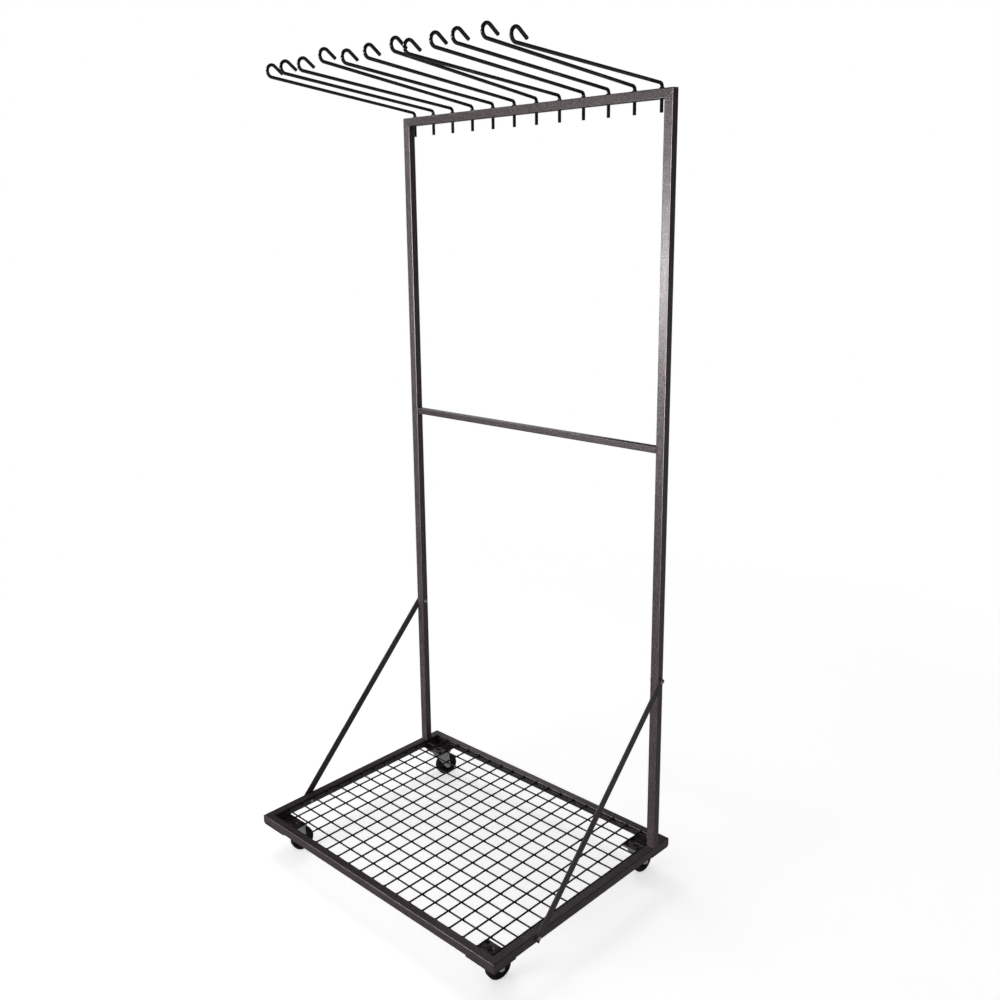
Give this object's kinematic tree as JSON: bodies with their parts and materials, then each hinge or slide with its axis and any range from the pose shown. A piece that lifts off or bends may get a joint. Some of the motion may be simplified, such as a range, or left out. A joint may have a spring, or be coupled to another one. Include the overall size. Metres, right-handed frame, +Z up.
{
  "type": "mobile display rack with swing arms",
  "caption": "Free-standing display rack: square-tube uprights on a wheeled wire-mesh base, with hooked rod arms that swing on pins along the top bar.",
  "frame": {"origin": "on the floor, under the middle of the base rails' outline", "axes": "+Z up, +X to the right seen from the front, +Y to the back; the arms reach towards -Y"},
  "size_m": [0.986, 0.7701, 2.3692],
  "materials": {
    "frame_coat": "dark bronze hammertone powder coat",
    "deck_coat": "satin black powder coat",
    "arm_coat": "gloss black",
    "zinc": "bright zinc plate",
    "wheel_hub": "moulded black plastic",
    "tyre": "satin rubber"
  },
  "bodies": {
    "frame": {"front_rail": "frame_coat", "back_rail": "frame_coat", "left_rail": "frame_coat", "right_rail": "frame_coat", "deck_cross_wires": "deck_coat", "deck_long_wires": "deck_coat", "corner_plates": "frame_coat", "left_foot_spigot": "frame_coat", "right_foot_spigot": "frame_coat", "left_lower_post": "frame_coat", "right_lower_post": "frame_coat", "left_splice_sleeve": "frame_coat", "right_splice_sleeve": "frame_coat", "left_upper_post": "frame_coat", "right_upper_post": "frame_coat", "top_bar": "frame_coat", "mid_bar": "frame_coat", "left_brace": "frame_coat", "right_brace": "frame_coat", "brace_bolts": "zinc", "brace_nuts": "zinc", "pin_washers": "deck_coat", "caster_top_plates": "zinc", "swivel_bearings": "zinc", "caster_kingpins": "deck_coat", "caster_plate_bolts": "deck_coat", "caster_plate_nuts": "deck_coat"},
    "arm_01": {"arm_01": "arm_coat"},
    "arm_02": {"arm_02": "arm_coat"},
    "arm_03": {"arm_03": "arm_coat"},
    "arm_04": {"arm_04": "arm_coat"},
    "arm_05": {"arm_05": "arm_coat"},
    "arm_06": {"arm_06": "arm_coat"},
    "arm_07": {"arm_07": "arm_coat"},
    "arm_08": {"arm_08": "arm_coat"},
    "arm_09": {"arm_09": "arm_coat"},
    "arm_10": {"arm_10": "arm_coat"},
    "arm_11": {"arm_11": "arm_coat"},
    "arm_12": {"arm_12": "arm_coat"},
    "caster_front_left": {"fork_front_left": "zinc", "axle_bolt_front_left": "zinc", "axle_nut_front_left": "zinc"},
    "wheel_front_left": {"hub_front_left": "wheel_hub", "tyre_front_left": "tyre"},
    "caster_front_right": {"fork_front_right": "zinc", "axle_bolt_front_right": "zinc", "axle_nut_front_right": "zinc"},
    "wheel_front_right": {"hub_front_right": "wheel_hub", "tyre_front_right": "tyre"},
    "caster_back_left": {"fork_back_left": "zinc", "axle_bolt_back_left": "zinc", "axle_nut_back_left": "zinc"},
    "wheel_back_left": {"hub_back_left": "wheel_hub", "tyre_back_left": "tyre"},
    "caster_back_right": {"fork_back_right": "zinc", "axle_bolt_back_right": "zinc", "axle_nut_back_right": "zinc"},
    "wheel_back_right": {"hub_back_right": "wheel_hub", "tyre_back_right": "tyre"}
  },
  "joints": [
    {"name": "arm_01_swing", "type": "hinge", "parent": "frame", "child": "arm_01", "pos_m": [-0.4455, 0.3193, 2.2314], "axis": [0, 0, 1], "range_deg": [-78, 3]},
    {"name": "arm_02_swing", "type": "hinge", "parent": "frame", "child": "arm_02", "pos_m": [-0.3645, 0.3193, 2.2314], "axis": [0, 0, 1], "range_deg": [-68.64, 2.64]},
    {"name": "arm_03_swing", "type": "hinge", "parent": "frame", "child": "arm_03", "pos_m": [-0.2835, 0.3193, 2.2314], "axis": [0, 0, 1], "range_deg": [-59.28, 2.28]},
    {"name": "arm_04_swing", "type": "hinge", "parent": "frame", "child": "arm_04", "pos_m": [-0.2025, 0.3193, 2.2314], "axis": [0, 0, 1], "range_deg": [-49.92, 1.92]},
    {"name": "arm_05_swing", "type": "hinge", "parent": "frame", "child": "arm_05", "pos_m": [-0.1215, 0.3193, 2.2314], "axis": [0, 0, 1], "range_deg": [-40.56, 1.56]},
    {"name": "arm_06_swing", "type": "hinge", "parent": "frame", "child": "arm_06", "pos_m": [-0.0405, 0.3193, 2.2314], "axis": [0, 0, 1], "range_deg": [-31.2, 1.2]},
    {"name": "arm_07_swing", "type": "hinge", "parent": "frame", "child": "arm_07", "pos_m": [0.0405, 0.3193, 2.2314], "axis": [0, 0, 1], "range_deg": [-1.2, 31.2]},
    {"name": "arm_08_swing", "type": "hinge", "parent": "frame", "child": "arm_08", "pos_m": [0.1215, 0.3193, 2.2314], "axis": [0, 0, 1], "range_deg": [-1.56, 40.56]},
    {"name": "arm_09_swing", "type": "hinge", "parent": "frame", "child": "arm_09", "pos_m": [0.2025, 0.3193, 2.2314], "axis": [0, 0, 1], "range_deg": [-1.92, 49.92]},
    {"name": "arm_10_swing", "type": "hinge", "parent": "frame", "child": "arm_10", "pos_m": [0.2835, 0.3193, 2.2314], "axis": [0, 0, 1], "range_deg": [-2.28, 59.28]},
    {"name": "arm_11_swing", "type": "hinge", "parent": "frame", "child": "arm_11", "pos_m": [0.3645, 0.3193, 2.2314], "axis": [0, 0, 1], "range_deg": [-2.64, 68.64]},
    {"name": "arm_12_swing", "type": "hinge", "parent": "frame", "child": "arm_12", "pos_m": [0.4455, 0.3193, 2.2314], "axis": [0, 0, 1], "range_deg": [-3, 78]},
    {"name": "front_left_swivel", "type": "hinge", "parent": "frame", "child": "caster_front_left", "pos_m": [-0.4145, -0.3219, 0.0843], "axis": [0, 0, 1], "continuous": true},
    {"name": "front_left_roll", "type": "hinge", "parent": "caster_front_left", "child": "wheel_front_left", "pos_m": [-0.41088, -0.29615, 0.0375], "axis": [-0.9903, 0.1392, 0], "continuous": true},
    {"name": "front_right_swivel", "type": "hinge", "parent": "frame", "child": "caster_front_right", "pos_m": [0.4145, -0.3219, 0.0843], "axis": [0, 0, 1], "continuous": true},
    {"name": "front_right_roll", "type": "hinge", "parent": "caster_front_right", "child": "wheel_front_right", "pos_m": [0.41946, -0.29638, 0.0375], "axis": [-0.9816, 0.1908, 0], "continuous": true},
    {"name": "back_left_swivel", "type": "hinge", "parent": "frame", "child": "caster_back_left", "pos_m": [-0.4145, 0.3219, 0.0843], "axis": [0, 0, 1], "continuous": true},
    {"name": "back_left_roll", "type": "hinge", "parent": "caster_back_left", "child": "wheel_back_left", "pos_m": [-0.40647, 0.34663, 0.0375], "axis": [-0.9511, 0.309, 0], "continuous": true},
    {"name": "back_right_swivel", "type": "hinge", "parent": "frame", "child": "caster_back_right", "pos_m": [0.4145, 0.3219, 0.0843], "axis": [0, 0, 1], "continuous": true},
    {"name": "back_right_roll", "type": "hinge", "parent": "caster_back_right", "child": "wheel_back_right", "pos_m": [0.41631, 0.34784, 0.0375], "axis": [-0.9976, 0.0698, 0], "continuous": true}
  ],
  "couplings": [
    {"joint": "arm_02_swing", "follows": "arm_01_swing", "ratio": 0.88},
    {"joint": "arm_03_swing", "follows": "arm_01_swing", "ratio": 0.76},
    {"joint": "arm_04_swing", "follows": "arm_01_swing", "ratio": 0.64},
    {"joint": "arm_05_swing", "follows": "arm_01_swing", "ratio": 0.52},
    {"joint": "arm_06_swing", "follows": "arm_01_swing", "ratio": 0.4},
    {"joint": "arm_07_swing", "follows": "arm_12_swing", "ratio": 0.4},
    {"joint": "arm_08_swing", "follows": "arm_12_swing", "ratio": 0.52},
    {"joint": "arm_09_swing", "follows": "arm_12_swing", "ratio": 0.64},
    {"joint": "arm_10_swing", "follows": "arm_12_swing", "ratio": 0.76},
    {"joint": "arm_11_swing", "follows": "arm_12_swing", "ratio": 0.88}
  ]
}
